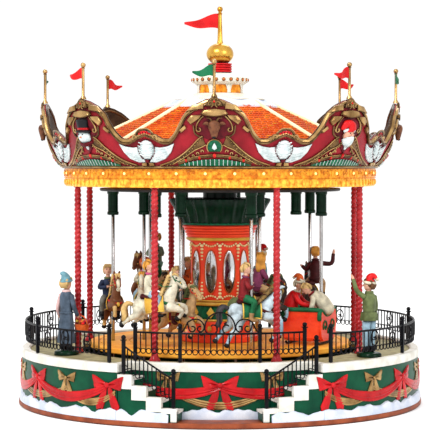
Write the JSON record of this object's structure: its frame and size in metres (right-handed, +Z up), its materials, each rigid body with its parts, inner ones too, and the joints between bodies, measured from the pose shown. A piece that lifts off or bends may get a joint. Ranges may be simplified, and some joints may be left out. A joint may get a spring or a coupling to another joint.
{
  "type": "merry go round",
  "caption": "Tabletop musical merry-go-round: walled drum with stairs and railings, turning platform with galloping horses, twisted columns and a scalloped lit canopy.",
  "frame": {"origin": "centre of the base plate's underside, on the turning axis", "axes": "+Z up along the turning axis; -Y is the front, where the two stairs meet; +X is to the right of someone who faces the front"},
  "size_m": [0.2928, 0.2928, 0.2876],
  "materials": {
    "brown_earth": "matt painted resin, terracotta brown",
    "green_wall": "painted resin, leaf green with moulded swags and snow",
    "cream_stone": "painted resin, off-white stone",
    "deck_stone": "painted resin, olive beige paving",
    "black_iron": "semi-gloss black moulded railings",
    "red_lacquer": "glossy red paint",
    "amber_glow": "translucent amber lens, lit from inside",
    "white_paint": "painted resin, warm white",
    "red_gold_cornice": "red field with antique gold mouldings",
    "tile_orange": "orange moulded roof tiles, lit from inside",
    "gold_paint": "bright gold paint",
    "flag_green": "glossy green paint on a gold pole",
    "flag_red": "glossy red paint on a gold pole",
    "coat_blue": "hand-painted resin, slate blue",
    "coat_green": "hand-painted resin, olive green",
    "steel": "plain steel",
    "nylon": "natural nylon",
    "black_plastic": "black moulded plastic",
    "board_green": "solder-resist green laminate",
    "wood_orange": "painted planks, warm orange",
    "dark_green": "dark green paint",
    "horse_paint": "hand-painted resin horse and rider, several colours",
    "pole_steel": "bright plated tube",
    "mirror_silver": "small silvered oval mirrors",
    "snow_white": "white snow paint with a fine sparkle"
  },
  "bodies": {
    "base": {"base_plate": "brown_earth", "drum_wall": "green_wall", "coping": "cream_stone", "stairs_left": "cream_stone", "stairs_right": "cream_stone", "deck": "deck_stone", "railing_deck": "black_iron", "railing_front": "black_iron", "stair_rail_left": "black_iron", "stair_rail_right": "black_iron", "column_1": "red_lacquer", "column_2": "red_lacquer", "column_3": "red_lacquer", "column_4": "red_lacquer", "column_5": "red_lacquer", "column_6": "red_lacquer", "column_7": "red_lacquer", "column_8": "red_lacquer", "light_band": "amber_glow", "ceiling_plate": "white_paint", "lantern": "white_paint", "cornice": "red_gold_cornice", "roof": "tile_orange", "finial": "gold_paint", "corner_flag_1": "flag_green", "corner_flag_2": "flag_red", "corner_flag_3": "flag_green", "corner_flag_4": "flag_red", "corner_flag_5": "flag_red", "corner_flag_6": "flag_red", "corner_flag_7": "flag_green", "corner_flag_8": "flag_red", "figure_left": "coat_blue", "figure_right": "coat_green", "gear_motor": "steel", "bearing_lower": "nylon", "wave_track": "nylon", "speaker": "black_plastic", "dc_socket": "black_plastic", "circuit_board": "board_green"},
    "rotor": {"turntable": "wood_orange", "centre_column": "red_lacquer", "bell_canopy": "dark_green", "upper_disc": "dark_green", "main_shaft": "steel", "drive_gear": "nylon", "sleigh": "red_lacquer"},
    "motor_pinion": {"pinion": "nylon"},
    "switch": {"switch_slider": "black_plastic"},
    "rider_outer_1": {"horse_outer_1": "horse_paint"},
    "rider_outer_2": {"horse_outer_2": "horse_paint"},
    "rider_outer_3": {"horse_outer_3": "horse_paint"},
    "rider_outer_4": {"horse_outer_4": "horse_paint"},
    "rider_outer_5": {"horse_outer_5": "horse_paint"},
    "rider_outer_6": {"horse_outer_6": "horse_paint"},
    "rider_inner_1": {"horse_inner_1": "horse_paint"},
    "rider_inner_2": {"horse_inner_2": "horse_paint"},
    "rider_inner_3": {"horse_inner_3": "horse_paint"},
    "rider_inner_4": {"horse_inner_4": "horse_paint"},
    "rider_inner_5": {"horse_inner_5": "horse_paint"}
  },
  "joints": [
    {"name": "rotor_spin", "type": "hinge", "parent": "base", "child": "rotor", "pos_m": [0, 0, 0.0445], "axis": [0, 0, 1], "continuous": true},
    {"name": "pinion_spin", "type": "hinge", "parent": "base", "child": "motor_pinion", "pos_m": [0, 0.03, 0.014], "axis": [0, 0, 1], "continuous": true},
    {"name": "switch_slide", "type": "slide", "parent": "base", "child": "switch", "axis": [-0.9397, 0.342, 0], "range_m": [0, 0.003]},
    {"name": "lift_outer_1", "type": "slide", "parent": "rotor", "child": "rider_outer_1", "axis": [0, 0, 1], "range_m": [-0.004, 0]},
    {"name": "lift_outer_2", "type": "slide", "parent": "rotor", "child": "rider_outer_2", "axis": [0, 0, 1], "range_m": [-0.01, 0]},
    {"name": "lift_outer_3", "type": "slide", "parent": "rotor", "child": "rider_outer_3", "axis": [0, 0, 1], "range_m": [0, 0.016]},
    {"name": "lift_outer_4", "type": "slide", "parent": "rotor", "child": "rider_outer_4", "axis": [0, 0, 1], "range_m": [-0.006, 0]},
    {"name": "lift_outer_5", "type": "slide", "parent": "rotor", "child": "rider_outer_5", "axis": [0, 0, 1], "range_m": [0, 0.01]},
    {"name": "lift_outer_6", "type": "slide", "parent": "rotor", "child": "rider_outer_6", "axis": [0, 0, 1], "range_m": [-0.016, 0]},
    {"name": "lift_inner_1", "type": "slide", "parent": "rotor", "child": "rider_inner_1", "axis": [0, 0, 1], "range_m": [-0.006, 0]},
    {"name": "lift_inner_2", "type": "slide", "parent": "rotor", "child": "rider_inner_2", "axis": [0, 0, 1], "range_m": [0, 0.012]},
    {"name": "lift_inner_3", "type": "slide", "parent": "rotor", "child": "rider_inner_3", "axis": [0, 0, 1], "range_m": [0, 0.008]},
    {"name": "lift_inner_4", "type": "slide", "parent": "rotor", "child": "rider_inner_4", "axis": [0, 0, 1], "range_m": [-0.008, 0]},
    {"name": "lift_inner_5", "type": "slide", "parent": "rotor", "child": "rider_inner_5", "axis": [0, 0, 1], "range_m": [0, 0.006]}
  ],
  "couplings": [
    {"joint": "pinion_spin", "follows": "rotor_spin", "ratio": -4},
    {"joint": "lift_outer_1", "follows": "lift_outer_3", "ratio": -0.25},
    {"joint": "lift_outer_2", "follows": "lift_outer_3", "ratio": -0.625},
    {"joint": "lift_outer_4", "follows": "lift_outer_3", "ratio": -0.375},
    {"joint": "lift_outer_5", "follows": "lift_outer_3", "ratio": 0.625},
    {"joint": "lift_outer_6", "follows": "lift_outer_3", "ratio": -1},
    {"joint": "lift_inner_1", "follows": "lift_outer_3", "ratio": -0.375},
    {"joint": "lift_inner_2", "follows": "lift_outer_3", "ratio": 0.75},
    {"joint": "lift_inner_3", "follows": "lift_outer_3", "ratio": 0.5},
    {"joint": "lift_inner_4", "follows": "lift_outer_3", "ratio": -0.5},
    {"joint": "lift_inner_5", "follows": "lift_outer_3", "ratio": 0.375}
  ]
}
